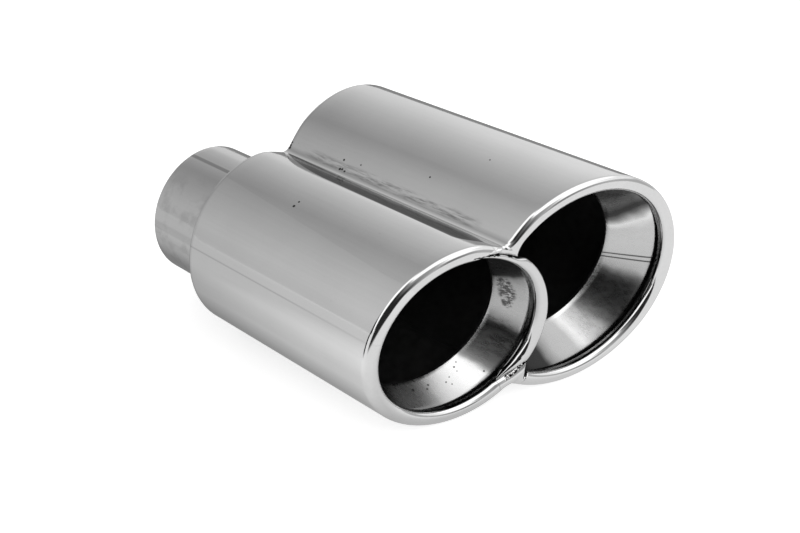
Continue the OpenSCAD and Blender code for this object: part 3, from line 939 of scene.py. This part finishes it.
def build_world():
    """A light tent: dim overhead, brighter toward both sides, brightest in front.

    Places in it are parts of a direction's X, Y and Z, from -1 to 1. The camera sees white.
    """
    world = bpy.data.worlds.new("tent")
    bpy.context.scene.world = world
    g = Graph(world)
    split = g.add("SeparateXYZ", Vector=g.add("TexCoord", out=0)).node.outputs
    angle = g.remap(g.math("ARCTAN2", split["Z"], split["X"]), 0.0, math.pi, 0.0, 1.0)
    ramp = g.add("ValToRGB", Fac=angle)
    stops = ramp.node.color_ramp.elements
    stops[0].position, stops[0].color = 0.0, (TENT_RIGHT,) * 3 + (1,)
    stops[1].position, stops[1].color = 1.0, (TENT_LEFT,) * 3 + (1,)
    for degrees, tone in TENT_TONES:
        stop = stops.new(degrees / 180)
        stop.color = (tone, tone, tone, 1)

    # The bright panel in front, from the middle to the right, with a dark edge below it
    right = g.remap(split["X"], -0.25, 0.05, 0.0, 1.0, smooth=True)
    front = g.math("MULTIPLY", right, g.remap(split["Y"], 0.2, -0.35, 0.0, 1.0, smooth=True))
    tone = g.blend(ramp, g.remap(split["X"], 0.2, 0.6, TENT_PANEL, TENT_SIDE, smooth=True), front)
    low = g.remap(split["Z"], 0.36, 0.26, 0.0, 1.0, smooth=True)
    tone = g.blend(tone, g.remap(split["X"], 0.0, 0.4, *TENT_EDGE), g.math("MULTIPLY", front, low))

    # The dark gap in front on the left, and the bright panel that hangs over it
    left = g.remap(split["X"], 0.0, -0.25, 0.0, 1.0, smooth=True)
    beyond = g.math("MULTIPLY", left, g.remap(split["Y"], -0.12, -0.28, 0.0, 1.0, smooth=True))
    tone = g.blend(tone, g.remap(split["X"], -0.75, -0.5, *TENT_GAP), beyond)
    over = g.remap(split["X"], -0.6, -0.5, 0.0, 1.0)
    over = g.math("MULTIPLY", over, g.remap(split["Z"], 0.58, 0.66, 0.0, 1.0))
    over = g.math("MULTIPLY", over, g.remap(split["Y"], 0.0, -0.2, 0.0, 1.0, smooth=True))
    tone = g.blend(tone, TENT_PANEL, over)

    # The dark left side, with a bright panel that widens and leans back as it rises
    side = g.remap(split["X"], -0.25, -0.45, 0.0, 1.0)
    half = g.remap(split["Z"], 0.0, 0.7, 0.1, 0.26)
    centre = g.remap(split["Z"], 0.0, 0.7, -0.14, 0.1)
    away = g.math("DIVIDE", g.math("ABSOLUTE", g.math("SUBTRACT", split["Y"], centre)), half)
    dark = g.remap(split["Y"], 0.45, 0.3, 0.0, 1.0)
    dark = g.math("MULTIPLY", dark, g.remap(split["Z"], 0.5, 0.2, 0.0, 1.0))
    tone = g.blend(tone, TENT_GAP[0], g.math("MULTIPLY", side, dark))
    tone = g.blend(tone, TENT_PANEL, g.math("MULTIPLY", side, g.remap(away, 1.1, 0.7, 0.0, 1.0)))

    tone = g.blend(tone, 1.0, g.add("LightPath", out=0))
    g.put(g.nodes["Background"].inputs["Color"], g.grey(tone))


def build_floor():
    """A white floor that holds a soft shadow; metal sees it dimmer toward the rear, with painted shadow
    close to and under the part.
    """
    mesh = bpy.data.meshes.new("floor")
    level = cad_box[0][2]
    corners = [(x * FLOOR_HALF, y * FLOOR_HALF, level) for x, y in ((-1, -1), (1, -1), (1, 1), (-1, 1))]
    mesh.from_pydata(corners, [], [(0, 1, 2, 3)])
    floor = bpy.data.objects.new("floor", mesh)
    bpy.context.collection.objects.link(floor)
    material = bpy.data.materials.new("floor_white")
    mesh.materials.append(material)
    g = Graph(material)
    g.nodes.remove(g.nodes["Principled BSDF"])
    place = g.add("SeparateXYZ", Vector=g.add("TexCoord", out=3)).node.outputs
    path = g.add("LightPath").node.outputs
    # What the steel mirrors: painted shadow close to the part and under it
    rear = g.remap(place["X"], -0.10, -0.04, FLOOR_REAR, FLOOR_NEAR, smooth=True)
    rear = g.math("MULTIPLY", rear, g.remap(place["Y"], 0.02, -0.11, 1.0, FLOOR_GAIN))
    rear = g.math("MULTIPLY", rear, g.remap(place["X"], -0.046, -0.026, 1.0, FLOOR_UNDER))
    mirrored = g.blend(FLOOR_FRONT, rear, g.remap(place["Y"], -0.20, -0.10, 0.0, 1.0, smooth=True))
    across = g.math("SUBTRACT", GAP_AT[0], place["X"])
    along = g.math("SUBTRACT", GAP_AT[1], place["Y"])
    turned = g.math("MULTIPLY", g.math("ARCTAN2", along, across), 180 / math.pi)
    far = g.remap(across, 0.08, 0.12, 0.0, 1.0)
    for centre, half in GAP_TURNS:
        away = g.math("ABSOLUTE", g.math("SUBTRACT", turned, centre))
        gap = g.remap(away, half + 2, half - 2, 0.0, 1.0, smooth=True)
        mirrored = g.blend(mirrored, TENT_GAP[0], g.math("MULTIPLY", gap, far))
    glow = g.math(
        "ADD",
        g.math("MULTIPLY", path["Is Camera Ray"], FLOOR_GLOW),
        g.math("MULTIPLY", path["Is Glossy Ray"], mirrored),
    )
    mirrored_share = g.math("MAXIMUM", path["Is Glossy Ray"], path["Is Transmission Ray"])
    matt = g.math("MULTIPLY", FLOOR_WHITE, g.math("SUBTRACT", 1.0, mirrored_share))
    both = g.add(
        "AddShader",
        i0=g.add("BsdfDiffuse", Color=g.grey(matt)),
        i1=g.add("Emission", Color=(1, 1, 1, 1), Strength=glow),
    )
    g.put(g.nodes["Material Output"].inputs["Surface"], both)


def add_camera():
    """The photograph's view: it looks back along +Y, down, and toward +X."""
    level = Vector((math.cos(CAMERA_AZIMUTH), math.sin(CAMERA_AZIMUTH), 0))
    ahead = Vector((-level.y, level.x, 0))
    back = math.sin(CAMERA_ELEVATION) * Vector((0, 0, 1)) - math.cos(CAMERA_ELEVATION) * ahead
    up = back.cross(level)
    right = math.cos(CAMERA_ROLL) * level + math.sin(CAMERA_ROLL) * up
    top = math.cos(CAMERA_ROLL) * up - math.sin(CAMERA_ROLL) * level
    to_right, to_top, to_back = CAMERA_OFFSET
    place = (CAMERA_AIM + to_right * right + to_top * top + to_back * back) * MM
    data = bpy.data.cameras.new("camera")
    data.lens = CAMERA_LENS
    data.sensor_width = CAMERA_SENSOR
    camera = bpy.data.objects.new("camera", data)
    camera.matrix_world = Matrix(
        [
            (right.x, top.x, back.x, place.x),
            (right.y, top.y, back.y, place.y),
            (right.z, top.z, back.z, place.z),
            (0, 0, 0, 1),
        ]
    )
    bpy.context.collection.objects.link(camera)
    bpy.context.scene.camera = camera


# Pieces
skin = polished("polished_sheet", 0.78, 0.10, specks=SKIN_SPECKS_AND_SHADOW, valley=True, seamed=True)
# Nearly black: painted shade on the inner faces of the shell, liners and pipe
inside = dull("inner_steel_shaded", 0.03, 0.6, 0.5)
build_shell(skin, inside)
build_divider(polished("divider_steel", 0.8, 0.07, seamed=True))
build_weld(weld_metal())
build_liners(inside)
build_pipe(polished("tube_steel", 0.66, 0.14, banded=True), inside)
dress_plate(dull("plate_steel", 0.3, 0.4, 1.0))

# Surroundings
build_world()
build_floor()
add_camera()
bpy.context.scene.view_settings.view_transform = "Standard"
